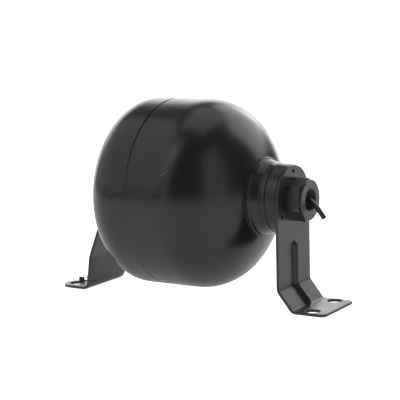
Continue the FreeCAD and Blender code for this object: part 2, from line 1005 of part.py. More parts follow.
def make_charging_screw(spigot_end):
    """The gas-filling screw: a sealed thread with a hexagon socket in its head."""
    head_start = spigot_end - dim("seal_gap") - dim("seal_thickness")
    head_end = head_start - dim("screw_head_length")
    tip = spigot_end + dim("screw_length")
    shank = dim("screw_radius")
    head = dim("screw_head_radius")
    chamfer = dim("screw_chamfer")
    body = turned_part(
        "charging_screw",
        [
            (tip, ZERO),
            (tip, shank - chamfer),
            (tip - chamfer, shank),
            (head_start, shank),
            (head_start, head),
            (head_end + chamfer, head),
            (head_end, head - chamfer),
            (head_end, ZERO),
        ],
    )

    def socket(sketch):
        draw_hexagon(sketch, dim("socket_flats"), Size.of(0))
        sketch.setExpression("AttachmentOffset.Base.z", head_end.formula)

    extrude(body, "YZ_Plane", "screw_socket", socket, dim("socket_depth") * 2, cut=True)


def make_charging_cap(spigot_end):
    """A moulded cap that covers the screw and grips the spigot."""
    mouth = spigot_end + dim("spigot_length") - dim("cap_gap")
    end = mouth - dim("cap_length")
    inside = dim("cap_inside")
    wall = dim("cap_wall")
    rim = dim("cap_rim")
    turned_part(
        "charging_cap",
        [
            (mouth, inside),
            (mouth, inside + wall + rim),
            (mouth - rim, inside + wall + rim),
            (mouth - rim, inside + wall),
            (end + wall, inside + wall),
            (end, inside, wall, -1),
            (end, ZERO),
            (end + wall, ZERO),
            (end + wall, inside),
        ],
    )


# ---------------------------------------------------------------- the clip on the rear foot


def make_foot_clip():
    """A small spring clip hooked over the near ear's inner edge, with a finger that stands up."""
    thickness = dim("clip_sheet")
    edge = -dim("ear_gap") / 2
    lip = edge + thickness
    finger = edge - dim("clip_reach")
    top = SHEET + thickness
    low = SHEET - dim("clip_hang")
    body = new_body("foot_clip", on_axis=False)
    sketch = new_sketch(body, "YZ_Plane", "clip_outline")
    draw_outline(
        sketch,
        [
            (lip, low),
            (lip, top),
            (finger + thickness, top),
            (finger + thickness, SHEET + dim("clip_finger")),
            (finger, SHEET + dim("clip_finger")),
            (finger, SHEET),
            (edge, SHEET),
            (edge, low),
        ],
    )
    start = dim("rear_hole_place") - dim("clip_length") / 2
    sketch.setExpression("AttachmentOffset.Base.z", start.formula)
    pad = body.newObject("PartDesign::Pad", "clip_strip")
    pad.Profile = sketch
    pad.setExpression("Length", "dims.clip_length")
    doc.recompute()


make_shell("front_shell", FRONT)
make_shell("rear_shell", REAR)
make_girth_weld()
make_clamp_ring()
make_diaphragm()
make_button()
make_port_collar()
make_collar_weld("front_collar_weld", FRONT, dim("lip_radius"))
make_spacer()
make_front_bracket()
make_plug_welds("front_plug_welds", dim("front_face") - SHEET, 1)
make_port_fitting()
make_port_seal()
make_port_plug()
make_pull_tail()
make_rear_collar()
make_collar_weld("rear_collar_weld", REAR, dim("rear_collar_radius"))
make_rear_bracket()
make_plug_welds("rear_plug_welds", dim("rear_face") + SHEET, -1)
SPIGOT_END = make_charging_boss()
make_charging_seal(SPIGOT_END)
make_charging_screw(SPIGOT_END)
make_charging_cap(SPIGOT_END)
make_foot_clip()

doc.recompute()
for item in doc.Objects:
    if "Invalid" in item.State or "Error" in item.State:
        raise RuntimeError(f"{item.Name} failed: {item.State}")
for node in parts:
    if node.Shape.isNull() or not node.Shape.isValid():
        raise RuntimeError(f"{node.Label} has no valid shape")

os.makedirs("parts", exist_ok=True)
for node in parts:
    node.Shape.exportStep(f"parts/{node.Label}.step")
    box = node.Shape.BoundBox
    ends = (box.XMin, box.XMax, box.YMin, box.YMax, box.ZMin, box.ZMax)
    extent = " ".join(f"{value:7.2f}" for value in ends)
    print(f"{node.Label:20s} solids {len(node.Shape.Solids)} volume {node.Shape.Volume:10.1f} {extent}")
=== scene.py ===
import math

import bmesh
import bpy
from mathutils import Matrix, Vector, kdtree
from mathutils.geometry import delaunay_2d_cdt


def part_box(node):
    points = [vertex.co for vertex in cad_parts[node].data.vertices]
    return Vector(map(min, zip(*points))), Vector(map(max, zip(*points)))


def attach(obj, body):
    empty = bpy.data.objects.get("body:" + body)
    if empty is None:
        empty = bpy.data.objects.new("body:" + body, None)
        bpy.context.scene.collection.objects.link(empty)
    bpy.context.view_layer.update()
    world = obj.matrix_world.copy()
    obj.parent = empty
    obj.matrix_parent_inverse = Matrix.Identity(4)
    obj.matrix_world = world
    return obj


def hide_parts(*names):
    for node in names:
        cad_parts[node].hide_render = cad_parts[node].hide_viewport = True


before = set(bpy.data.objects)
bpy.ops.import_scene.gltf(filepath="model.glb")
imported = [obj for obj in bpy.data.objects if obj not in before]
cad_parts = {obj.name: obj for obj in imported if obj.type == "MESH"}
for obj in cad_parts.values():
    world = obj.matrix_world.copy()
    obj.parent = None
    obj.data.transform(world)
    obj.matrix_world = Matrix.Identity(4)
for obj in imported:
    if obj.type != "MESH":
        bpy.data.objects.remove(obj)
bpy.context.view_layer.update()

# Shapes are worked out in millimetres in the row frame and turned into metres when a mesh is made.
# The vessel's axis runs along X. "Place" is a position along it, "radius" is a distance from it.


# ---------------------------------------------------------------- places read from the frame


def node_box(node):
    low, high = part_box(node)
    return low * 1000, high * 1000


def node_ends(node):
    """Where a node starts and ends along the vessel's axis."""
    low, high = node_box(node)
    return low.x, high.x


def middle_height(node):
    low, high = node_box(node)
    return (low.z + high.z) / 2


AXIS = middle_height("girth_weld")
SEAM = sum(node_ends("girth_weld")) / 2
TANK_RADIUS = node_box("front_shell")[1].z - AXIS
SHEET = 2.0
HALF_SHEET = SHEET / 2
FRONT_FACE = node_ends("front_plug_welds")[0] + SHEET
REAR_FACE = node_ends("rear_plug_welds")[1] - SHEET
FOOT_END = node_ends("front_bracket")[1]
HALF_STRAP = node_box("front_bracket")[1].y
STRAP_TOP = node_box("front_bracket")[1].z


# ---------------------------------------------------------------- outlines


def arc(centre, radius, start, end, count):
    """Points on a circle from one angle to another, both ends included, in degrees."""
    points = []
    for k in range(count + 1):
        angle = math.radians(start + (end - start) * k / count)
        points.append((centre[0] + radius * math.cos(angle), centre[1] + radius * math.sin(angle)))
    return points


def soften(outline, support=0.25, spacing=None):
    """Round the corners of a closed outline.

    A corner is (u, v, radius). A point (u, v) stays as it is. Where support is given, a point is added
    that far out from each end of a rounding, so that flat stretches beside it keep their own shading.
    """
    softened = []
    for i, corner in enumerate(outline):
        if len(corner) == 2:
            softened.append(tuple(corner))
            continue
        here = Vector(corner[:2])
        before = Vector(outline[i - 1][:2])
        after = Vector(outline[(i + 1) % len(outline)][:2])
        radius = corner[2]
        into = (here - before).normalized()
        out = (after - here).normalized()
        turn = math.atan2(into.x * out.y - into.y * out.x, into.dot(out))
        trim = radius * math.tan(abs(turn) / 2)
        start = here - into * trim
        side = Vector((-into.y, into.x)) * math.copysign(1, turn)
        centre = start + side * radius
        if support:
            softened.append(tuple(start - into * support))
        steps = max(3, math.ceil(abs(turn) * radius / spacing)) if spacing else max(3, round(abs(turn) * 4))
        spoke = start - centre
        for k in range(steps + 1):
            angle = turn * k / steps
            turned_spoke = Matrix.Rotation(angle, 2) @ spoke
            softened.append(tuple(centre + turned_spoke))
        if support:
            softened.append(tuple(here + out * (trim + support)))
    return softened


def thin_out(points, gap=0.01):
    """Leave out points of a closed line that fall on the one before them."""
    kept = []
    for point in points:
        if not kept or (Vector(point) - Vector(kept[-1])).length > gap:
            kept.append(point)
    if (Vector(kept[0]) - Vector(kept[-1])).length <= gap:
        kept.pop()
    return kept


def divide(points, spacing):
    """Add points to the long runs of a closed line."""
    divided = []
    for i, point in enumerate(points):
        start, end = Vector(point), Vector(points[(i + 1) % len(points)])
        pieces = max(1, math.ceil((end - start).length / spacing))
        divided += [tuple(start.lerp(end, k / pieces)) for k in range(pieces)]
    return divided


def smoothstep(low, high, value):
    share = min(1.0, max(0.0, (value - low) / (high - low)))
    return share * share * (3 - 2 * share)


# ---------------------------------------------------------------- meshes


def add_piece(name, verts, faces, body, nodes, material, slot):
    """A smooth closed mesh that stands for CAD nodes and rides on their body."""
    mesh = bpy.data.meshes.new(name)
    mesh.from_pydata([tuple(c / 1000 for c in v) for v in verts], [], faces)
    tidy = bmesh.new()
    tidy.from_mesh(mesh)
    bmesh.ops.recalc_face_normals(tidy, faces=tidy.faces)
    tidy.to_mesh(mesh)
    tidy.free()
    mesh.shade_smooth()
    mesh.materials.append(material)
    piece = bpy.data.objects.new(name, mesh)
    bpy.context.scene.collection.objects.link(piece)
    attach(piece, body)
    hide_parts(*nodes)


def turned(profile, steps=192):
    """Turn a closed outline about the vessel's axis.

    A point is (place, radius), or (place, radius, shape) where shape(place, radius, angle) gives the radius.
    """
    verts, rings = [], []
    for place, radius, *shape in profile:
        if radius < 1e-6:
            rings.append([len(verts)] * steps)
            verts.append((place, 0, AXIS))
            continue
        rings.append(list(range(len(verts), len(verts) + steps)))
        for k in range(steps):
            angle = 2 * math.pi * k / steps
            reach = shape[0](place, radius, angle) if shape else radius
            verts.append((place, reach * math.cos(angle), AXIS + reach * math.sin(angle)))
    faces = []
    for ring, following in zip(rings, rings[1:] + rings[:1]):
        for k in range(steps):
            n = (k + 1) % steps
            corners = list(dict.fromkeys((ring[k], ring[n], following[n], following[k])))
            if len(corners) > 2:
                faces.append(corners)
    return verts, faces


def swept(path, radii, steps=32, squareness=3.2):
    """A bar with a squarish round section along points (x, z) in the vessel's upright plane."""
    points = [Vector(p) for p in path]
    verts, faces = [], []
    for i, point in enumerate(points):
        ahead = (points[min(i + 1, len(points) - 1)] - points[max(i - 1, 0)]).normalized()
        for k in range(steps):
            angle = 2 * math.pi * k / steps
            across, lift = math.cos(angle), math.sin(angle)
            size = radii[i] / (abs(across) ** squareness + abs(lift) ** squareness) ** (1 / squareness)
            across, lift = across * size, lift * size
            verts.append((point.x - ahead.y * lift, across, point.y + ahead.x * lift))
    for i in range(len(points) - 1):
        for k in range(steps):
            n = (k + 1) % steps
            faces.append((i * steps + k, i * steps + n, (i + 1) * steps + n, (i + 1) * steps + k))
    faces.append(tuple(range(steps)))
    faces.append(tuple(range((len(points) - 1) * steps, len(points) * steps)))
    return verts, faces


def edge_rings(half, edge, support, steps=4):
    """(inset, height) of the rings round a sheet's edge, from the top face over the edge to the bottom."""
    top = [(edge + support, half), (edge, half)]
    for k in range(1, steps + 1):
        angle = math.pi / 2 * k / steps
        top.append((edge * (1 - math.sin(angle)), half - edge * (1 - math.cos(angle))))
    return top + [(inset, -height) for inset, height in reversed(top)]


def inward(loop, towards_left):
    """Unit normals of a closed line, to its left or its right."""
    normals = []
    sign = 1 if towards_left else -1
    for i in range(len(loop)):
        along = (Vector(loop[(i + 1) % len(loop)]) - Vector(loop[i - 1])).normalized()
        normals.append(Vector((-along.y, along.x)) * sign)
    return normals


def inset_loop(loop, normals, inset):
    return [tuple(Vector(p) + n * inset) for p, n in zip(loop, normals)]


def sheet_blank(outline, holes, grid, edge=0.35, support=0.35, half=HALF_SHEET):
    """A flat sheet with rounded edges as (length, across, height) points and faces.

    outline is a closed line that turns left, and holes are (length, across, radius). grid holds points
    inside it that give the sheet its bends.
    """
    rings = edge_rings(half, edge, support)
    loops = [(outline, inward(outline, True))]
    openings = []
    for place, across, radius in holes:
        circle = arc((place, across), radius, 0, 360, max(16, round(radius * 8)))[:-1]
        loops.append((circle, inward(circle, False)))
        reach = (radius + rings[0][0]) * math.cos(math.pi / len(circle))
        openings.append((Vector((place, across)), reach))

    flat, borders, border_starts = [], [], []
    for loop, normals in loops:
        first = len(flat)
        border_starts.append(first)
        flat += inset_loop(loop, normals, rings[0][0])
        count = len(loop)
        borders += [(first + k, first + (k + 1) % count) for k in range(count)]
    tree = kdtree.KDTree(len(flat))
    for i, point in enumerate(flat):
        tree.insert((*point, 0), i)
    tree.balance()
    flat += [p for p in grid if tree.find((*p, 0))[2] > 0.4]

    points, _, triangles, origins, _, _ = delaunay_2d_cdt([Vector(p) for p in flat], borders, [], 1, 1e-7)

    def in_a_hole(triangle):
        centre = (points[triangle[0]] + points[triangle[1]] + points[triangle[2]]) / 3
        return any((centre - middle).length < reach for middle, reach in openings)

    triangles = [t for t in triangles if not in_a_hole(t)]
    used = sorted({i for t in triangles for i in t})
    number = {old: new for new, old in enumerate(used)}
    count = len(used)
    verts = [(*points[i], half) for i in used] + [(*points[i], -half) for i in used]
    faces = [tuple(number[i] for i in t) for t in triangles]
    faces += [tuple(number[i] + count for i in reversed(t)) for t in triangles]

    from_flat = {old: number[new] for new, olds in enumerate(origins) for old in olds if new in number}
    for (loop, normals), first in zip(loops, border_starts):
        last = [from_flat[first + k] for k in range(len(loop))]
        bottom = [i + count for i in last]
        for inset, height in rings[1:-1]:
            ring = list(range(len(verts), len(verts) + len(loop)))
            verts += [(*p, height) for p in inset_loop(loop, normals, inset)]
            faces += strip(last, ring)
            last = ring
        faces += strip(last, bottom)
    return verts, faces


def strip(ring, following):
    count = len(ring)
    return [(ring[k], ring[(k + 1) % count], following[(k + 1) % count], following[k]) for k in range(count)]


class StrapLine:
    """The middle line of a bent strap in the upright plane, from its top to the end of its foot."""

    def __init__(self, corners, side):
        self.side = side
        self.pieces = []
        place = 0.0
        last = Vector(corners[0][:2])
        for i in range(1, len(corners)):
            here = Vector(corners[i][:2])
            into = (here - last).normalized()
            if i == len(corners) - 1:
                self.pieces.append((place, place + (here - last).length, last, into, 0.0, 0.0))
                place += (here - last).length
                continue
            out = (Vector(corners[i + 1][:2]) - here).normalized()
            turn = math.atan2(into.x * out.y - into.y * out.x, into.dot(out))
            radius = corners[i][2]
            trim = radius * math.tan(abs(turn) / 2)
            straight = (here - last).length - trim
            self.pieces.append((place, place + straight, last, into, 0.0, 0.0))
            place += straight
            bend = radius * abs(turn)
            self.pieces.append((place, place + bend, here - into * trim, into, radius, turn))
            place += bend
            last = here + out * trim
        self.length = place

    def at(self, place):
        """The point (x, z) and the outward normal at a distance from the top."""
        for start, end, origin, into, radius, turn in self.pieces:
            if place <= end or end == self.length:
                break
        along = place - start
        if not radius:
            return origin + into * along, Vector((-into.y, into.x)) * self.side
        sign = math.copysign(1, turn)
        centre = origin + Vector((-into.y, into.x)) * sign * radius
        rotation = Matrix.Rotation(sign * along / radius, 2)
        direction = rotation @ into
        return centre + rotation @ (origin - centre), Vector((-direction.y, direction.x)) * self.side

    def offset(self, place, height):
        point, normal = self.at(place)
        return point + normal * height

    def bends(self):
        return [(start, end) for start, end, _, _, radius, _ in self.pieces if radius]

    def foot_place(self, x):
        """The distance from the top to a point on the foot."""
        return self.length - abs(self.at(self.length)[0].x - x)


def rows_for(line, coarse=2.2, fine=0.5):
    """Places along a strap, close together in its bends."""
    places = [k * coarse for k in range(1, int(line.length / coarse))]
    for start, end in line.bends():
        places = [p for p in places if not start - 0.8 < p < end + 0.8]
        pieces = max(4, math.ceil((end - start) / fine))
        places += [start + (end - start) * k / pieces for k in range(pieces + 1)]
        places += [start - 0.5, end + 0.5]
    return sorted(places)


# ---------------------------------------------------------------- materials


class Surface:
    """A Principled material whose colour, roughness and relief come from procedural textures."""

    def __init__(self, name, metallic=0.0, ior=1.5):
        self.material = bpy.data.materials.new(name)
        self.material.use_nodes = True
        self.tree = self.material.node_tree
        self.shader = self.tree.nodes["Principled BSDF"]
        self.shader.inputs["Metallic"].default_value = metallic
        self.shader.inputs["IOR"].default_value = ior
        self.coordinates = self.node("ShaderNodeTexCoord").outputs["Object"]
        self.relief = None

    def node(self, kind, **inputs):
        made = self.tree.nodes.new(kind)
        for name, value in inputs.items():
            made.inputs[name.replace("_", " ")].default_value = value
        return made

    def link(self, output, target):
        self.tree.links.new(output, target)

    def noise(self, size, detail=3.0, stretch=(1, 1, 1)):
        """Noise whose features are about size millimetres across."""
        mapping = self.node("ShaderNodeMapping")
        mapping.inputs["Scale"].default_value = stretch
        self.link(self.coordinates, mapping.inputs["Vector"])
        texture = self.node("ShaderNodeTexNoise", Scale=1000 / size, Detail=detail)
        self.link(mapping.outputs["Vector"], texture.inputs["Vector"])
        return texture.outputs["Fac"]

    def specks(self, size, share):
        """Small scattered spots: 1 in a spot and 0 elsewhere."""
        cells = self.node("ShaderNodeTexVoronoi", Scale=1000 / size)
        self.link(self.coordinates, cells.inputs["Vector"])
        return self.ramp(cells.outputs["Distance"], ((0.0, 1.0), (share, 0.0)))

    def ramp(self, value, stops):
        """Turn a value into greys or colours through (position, grey or colour) stops."""
        ramp = self.node("ShaderNodeValToRGB")
        self.link(value, ramp.inputs["Fac"])
        elements = ramp.color_ramp.elements
        while len(elements) < len(stops):
            elements.new(0.5)
        for element, (position, shade) in zip(elements, stops):
            element.position = position
            element.color = (shade, shade, shade, 1) if isinstance(shade, float) else (*shade, 1)
        return ramp.outputs["Color"]

    def mix(self, share, first, second, blend="MIX"):
        """Mix two colours, each an output or a plain colour, by a share that is an output or a number."""
        mixer = self.node("ShaderNodeMix")
        mixer.data_type = "RGBA"
        mixer.blend_type = blend
        sockets = [s for s in mixer.inputs if s.enabled]
        for socket, value in zip(sockets, (share, first, second)):
            if isinstance(value, bpy.types.NodeSocket):
                self.link(value, socket)
            else:
                socket.default_value = value if isinstance(value, float) else (*value, 1)
        return next(s for s in mixer.outputs if s.enabled)

    def colour(self, output):
        self.link(output, self.shader.inputs["Base Color"])

    def roughness(self, output):
        self.link(output, self.shader.inputs["Roughness"])

    def add_relief(self, height, depth):
        """Lay one more relief, depth millimetres deep, on the surface."""
        bump = self.node("ShaderNodeBump", Distance=depth / 1000)
        self.link(height, bump.inputs["Height"])
        if self.relief:
            self.link(self.relief, bump.inputs["Normal"])
        self.relief = bump.outputs["Normal"]
        self.link(self.relief, self.shader.inputs["Normal"])


def edge_wear_and_highlight(surface, low=0.52, high=0.6):
    """1 on sharp outer edges, where a coat is thin and rubbed and where the lighter edge colour is also a
    painted highlight, and 0 elsewhere.
    """
    geometry = surface.node("ShaderNodeNewGeometry")
    return surface.ramp(geometry.outputs["Pointiness"], ((low, 0.0), (high, 1.0)))


def dusty_black(surface, dark, light, dust, worn_and_highlit):
    """Black dip coat on pressed steel: slightly uneven, with faint dust and lighter edges, which are partly
    rubbed coat and partly a painted highlight.
    """
    shade = surface.ramp(surface.noise(34, 4), ((0.35, dark), (0.7, light)))
    shade = surface.mix(surface.specks(3.2, 0.09), shade, (dust,) * 3)
    # Sharp outer edges are lighter: partly rubbed coat, partly a painted highlight.
    return surface.mix(edge_wear_and_highlight(surface), shade, (worn_and_highlit,) * 3)


def rubbed(surface, start, end, width):
    """1 in a broken streak between two places, fading to 0 at width to each side, in millimetres."""
    start, end = Vector(start) / 1000, Vector(end) / 1000
    along = end - start

    def vector(operation, first, second):
        node = surface.node("ShaderNodeVectorMath")
        node.operation = operation
        for socket, value in zip(node.inputs, (first, second)):
            if isinstance(value, bpy.types.NodeSocket):
                surface.link(value, socket)
            else:
                socket.default_value = value
        return node

    offset = vector("SUBTRACT", surface.coordinates, start).outputs["Vector"]
    share = surface.node("ShaderNodeClamp")
    travelled = vector("DOT_PRODUCT", offset, along / along.length_squared)
    surface.link(travelled.outputs["Value"], share.inputs[0])
    nearest = vector("SCALE", along, (0, 0, 0))
    surface.link(share.outputs["Result"], nearest.inputs["Scale"])
    beside = vector("SUBTRACT", offset, nearest.outputs["Vector"]).outputs["Vector"]
    reach = surface.node("ShaderNodeMath")
    reach.operation = "MULTIPLY"
    reach.inputs[1].default_value = 500 / width
    surface.link(vector("LENGTH", beside, (0, 0, 0)).outputs["Value"], reach.inputs[0])
    streak = surface.ramp(reach.outputs["Value"], ((0.12, 1.0), (0.5, 0.0)))
    broken = surface.ramp(surface.noise(1.6, 3), ((0.42, 0.0), (0.6, 1.0)))
    return surface.mix(1.0, streak, broken, "MULTIPLY")


# Handling scuffs on the side that faces -Y: the place along the axis, the angle up from level, the
# length and how far each fades to its sides, in millimetres and degrees, and how light the mark is.
SCUFFS = (
    (12, 20, 8, 1, 0.1),
    (0, 12, 5, 1.5, 0.02),
    (-28, 8, 5, 1, 0.03),
)


def scuff(surface, along, rise, length, width):
    """A short slanting streak on the round of the vessel."""
    rise = math.radians(rise)
    middle = Vector((along, -TANK_RADIUS * math.cos(rise), AXIS + TANK_RADIUS * math.sin(rise)))
    slant = Vector((1, math.sin(rise), math.cos(rise))).normalized() * length / 2
    return rubbed(surface, middle - slant, middle + slant, width)


def tank_coat():
    """The vessel's coat, with the few faint scuffs of handling on the side that faces -Y."""
    surface = Surface("tank_coat")
    shade = dusty_black(surface, 0.007, 0.011, dust=0.024, worn_and_highlit=0.03)
    gloss = surface.ramp(surface.noise(21, 5), ((0.3, 0.21), (0.75, 0.31)))
    for along, rise, length, width, mark in SCUFFS:
        streak = scuff(surface, along, rise, length, width)
        shade = surface.mix(streak, shade, (mark,) * 3)
        gloss = surface.mix(streak, gloss, (0.6,) * 3)
    surface.colour(shade)
    surface.roughness(gloss)
    surface.add_relief(surface.noise(45, 1), 0.07)
    surface.add_relief(surface.noise(14, 1), 0.008)
    surface.add_relief(surface.noise(1.7, 2), 0.012)
    return surface.material


def bracket_coat():
    """The brackets' coat, duller than the vessel's and with the sheet's faint rolling marks."""
    surface = Surface("bracket_coat")
    surface.colour(dusty_black(surface, 0.016, 0.024, dust=0.0528, worn_and_highlit=0.0624))
    surface.roughness(surface.ramp(surface.noise(21, 5), ((0.3, 0.28), (0.75, 0.4))))
    surface.add_relief(surface.noise(45, 1), 0.03)
    surface.add_relief(surface.noise(1.7, 2), 0.012)
    surface.add_relief(surface.noise(0.9, 2, (1, 1, 0.12)), 0.006)
    return surface.material


def weld_coat():
    surface = Surface("weld_coat")
    surface.colour(surface.ramp(surface.noise(4, 3), ((0.3, 0.009), (0.7, 0.016))))
    surface.roughness(surface.ramp(surface.noise(2, 2), ((0.3, 0.25), (0.7, 0.36))))
    surface.add_relief(surface.noise(2.6, 2), 0.05)
    return surface.material


def fitting_coat():
    """A thicker, grainy black coat on turned steel."""
    surface = Surface("fitting_coat")
    shade = surface.ramp(surface.noise(6, 5), ((0.3, 0.016), (0.75, 0.03)))
    # Lighter on sharp outer edges: partly rubbed coat, partly a painted highlight.
    worn_and_highlit = surface.mix(edge_wear_and_highlight(surface, 0.53, 0.64), shade, (0.06, 0.06, 0.058))
    surface.colour(worn_and_highlit)
    surface.roughness(surface.ramp(surface.noise(3, 4), ((0.3, 0.26), (0.75, 0.42))))
    surface.add_relief(surface.noise(0.8, 3), 0.035)
    return surface.material


def moulded_plastic(name, dark, light, rough):
    surface = Surface(name, ior=1.46)
    surface.colour(surface.ramp(surface.noise(9, 4), ((0.3, dark), (0.75, light))))
    surface.roughness(surface.ramp(surface.noise(1.1, 2), ((0.25, rough - 0.08), (0.75, rough + 0.08))))
    surface.add_relief(surface.noise(0.35, 2), 0.008)
    return surface.material


def turned_steel(name, shade, rough):
    surface = Surface(name, metallic=1.0)
    surface.colour(surface.ramp(surface.noise(7, 3), ((0.3, shade * 0.8), (0.7, shade))))
    marks = surface.noise(0.6, 2, (8, 1, 1))
    surface.roughness(surface.ramp(marks, ((0.3, rough - 0.08), (0.7, rough + 0.1))))
    surface.add_relief(surface.noise(0.5, 1, (6, 0.3, 0.3)), 0.006)
    return surface.material


def moulded_rubber(name):
    surface = Surface(name)
    surface.colour(surface.ramp(surface.noise(12, 4), ((0.3, 0.012), (0.75, 0.024))))
    surface.roughness(surface.ramp(surface.noise(2, 3), ((0.3, 0.6), (0.7, 0.78))))
    surface.add_relief(surface.noise(0.7, 3), 0.02)
    return surface.material


TANK = tank_coat()
BRACKET = bracket_coat()
WELD = weld_coat()
FITTING = fitting_coat()
# The plug and its tail are one moulded plastic. The plug's copy is darker as painted shade for its recess in
# the port, and the tail's copy is lighter as a painted highlight for its lit upper face.
PLUG_SHADED = moulded_plastic("plug_plastic", 0.004, 0.008, 0.7)
TAIL_LIT = moulded_plastic("tail_plastic_lit", 0.014, 0.022, 0.42)
CAP = moulded_plastic("cap_plastic", 0.014, 0.022, 0.45)
BARE_STEEL = turned_steel("bare_steel", 0.45, 0.3)
SPRING_STEEL = turned_steel("spring_steel", 0.06, 0.38)
RUBBER = moulded_rubber("moulded_rubber")


# ---------------------------------------------------------------- the vessel

WALL = 3.0
NECK = 12.0
SEAM_HALF_WIDTH = 0.7
SEAM_DEPTH = 1.2
FRONT_DOME = {"equator": 7.5, "knuckle": 42.0, "crown": 80.8, "outward": 1}
REAR_DOME = {"equator": -32.0, "knuckle": 26.0, "crown": 108.4, "outward": -1}


def dome_centre(dome):
    rise = TANK_RADIUS - dome["knuckle"]
    reach = dome["crown"] - dome["knuckle"]
    return dome["equator"] - dome["outward"] * math.sqrt(reach**2 - rise**2)


def dome_place(dome, radius, inset=0.0):
    """Where a dome's crown stands along the axis at a radius."""
    return dome_centre(dome) + dome["outward"] * math.sqrt((dome["crown"] - inset) ** 2 - radius**2)


def dome_run(dome, inset):
    """From the dome's equator to the edge of its neck hole, inset millimetres inside its outer face."""
    outward = dome["outward"]
    rise = TANK_RADIUS - dome["knuckle"]
    meet = math.degrees(math.asin(rise / (dome["crown"] - dome["knuckle"])))
    hole = math.degrees(math.asin(NECK / (dome["crown"] - inset)))
    knuckle = arc((0, rise), dome["knuckle"] - inset, 90, meet, 28)
    crown = arc((0, 0), dome["crown"] - inset, meet, hole, 28)[1:]
    run = [(dome["equator"] + outward * u, v) for u, v in knuckle]
    return run + [(dome_centre(dome) + outward * u, v) for u, v in crown]


def ease(run, rounds=60):
    """Even out the changes of curvature along a run, without shrinking it."""
    points = [Vector(p) for p in run]
    for k in range(rounds):
        weight = 0.5 if k % 2 == 0 else -0.52
        middles = [(points[i - 1] + points[i + 1]) / 2 for i in range(1, len(points) - 1)]
        for i, middle in enumerate(middles, start=1):
            points[i] = points[i] + (middle - points[i]) * weight
    return [tuple(p) for p in points]


def even_run(run, spacing=1.6):
    """The same run with evenly spaced points."""
    points = [Vector(run[0])]
    rest = [Vector(p) for p in run[1:]]
    carried = spacing
    for target in rest:
        start = points[-1] if carried == spacing else last
        length = (target - start).length
        while length >= carried:
            start = start + (target - start) * (carried / length)
            points.append(start)
            length = (target - start).length
            carried = spacing
        carried -= length
        last = target
    points.append(rest[-1])
    return [tuple(p) for p in points]


def shell_outline(dome):
    edge = SEAM + dome["outward"] * SEAM_HALF_WIDTH
    flat = (edge + dome["outward"] * 1.5, TANK_RADIUS)
    outside = ease(even_run([flat] + dome_run(dome, 0.0)))
    groove = [
        (SEAM, TANK_RADIUS - WALL),
        (SEAM, TANK_RADIUS - SEAM_DEPTH),
        (edge, TANK_RADIUS - SEAM_DEPTH),
        (edge, TANK_RADIUS, 0.15),
    ]
    inside = dome_run(dome, WALL)[::-1]
    return soften(groove + outside + inside)


def weld_height(place, radius, angle):
    """The weld fills its groove, except over the top of the vessel, where it lies deeper."""
    return radius - 0.65 * smoothstep(0.0, 0.85, math.sin(angle))


def girth_weld_outline():
    low = TANK_RADIUS - SEAM_DEPTH
    high = TANK_RADIUS - 0.02
    left, right = SEAM - SEAM_HALF_WIDTH, SEAM + SEAM_HALF_WIDTH
    top = [(right, high), (right - 0.3, high + 0.08), (SEAM, high + 0.14), (left + 0.3, high + 0.08)]
    top.append((left, high))
    return [(left, low), (right, low)] + [(*p, weld_height) for p in top]


FRONT_HALF = turned(shell_outline(FRONT_DOME), 288)
REAR_HALF = turned(shell_outline(REAR_DOME), 288)
add_piece("front_half", *FRONT_HALF, "vessel", ["front_shell"], TANK, "black_paint")
add_piece("rear_half", *REAR_HALF, "vessel", ["rear_shell"], TANK, "black_paint")
add_piece("seam_bead", *turned(girth_weld_outline(), 288), "vessel", ["girth_weld"], WELD, "black_weld")


# ---------------------------------------------------------------- collars, welds and spacer

SHANK_BORE = 10.1
RING_BORE = 10.5
PASSAGE = 6.5
COLLAR_LIP = 28.0
REAR_COLLAR_RIM = 26.0


def collar_outline():
    lip, cone, land = COLLAR_LIP, 26.8, 24.8
    start = dome_place(FRONT_DOME, lip)
    lip_end = start + 1.5
    inner, end = node_ends("port_collar")
    shoulder = inner + 2.4
    outline = [
        (inner, PASSAGE, 0.2),
        (inner, NECK),
        (dome_place(FRONT_DOME, NECK), NECK),
        (start, lip),
        (lip_end + 0.9, lip, 1.1),
        (lip_end + 1.5, cone - 0.2, 1.0),
        (63.0, land + 0.15, 0.8),
        (63.9, land + 0.15, 0.5),
        (64.3, land, 0.6),
        (end, land, 0.55),
        (end, SHANK_BORE, 0.2),
        (shoulder, SHANK_BORE),
        (shoulder, PASSAGE),
    ]
    return soften(outline)


def spacer_outline():
    start, end = node_ends("front_spacer")
    return soften([(start, RING_BORE), (start, 24.7, 0.55), (end, 24.0, 0.3), (end, RING_BORE)])


def rear_collar_outline():
    rim = REAR_COLLAR_RIM
    face, inner = node_ends("rear_collar")
    outline = [
        (inner, SHANK_BORE),
        (inner, NECK),
        (dome_place(REAR_DOME, NECK), NECK),
        (dome_place(REAR_DOME, rim), rim),
        (face, rim, 1.6),
        (face, SHANK_BORE),
    ]
    return soften(outline)


def weld_outline(dome, rim, size=0.6):
    outward = dome["outward"]
    place = dome_place(dome, rim)
    foot = (dome_place(dome, rim + size), rim + size)
    top = (place + size * outward, rim)
    belly = (place + size * 0.42 * outward, rim + size * 0.42)
    return [foot, belly, top, (place, rim)]


def lumpy(outline, rim, depth=0.05, lumps=41):
    """Give the outer points of a weld the faint ripple of its passes."""

    def ripple(place, radius, angle):
        wave = math.sin(lumps * angle + 1.7 * math.sin(3 * angle))
        return radius + depth * wave * smoothstep(rim, rim + 0.5, radius)

    return [(*p, ripple) for p in outline]


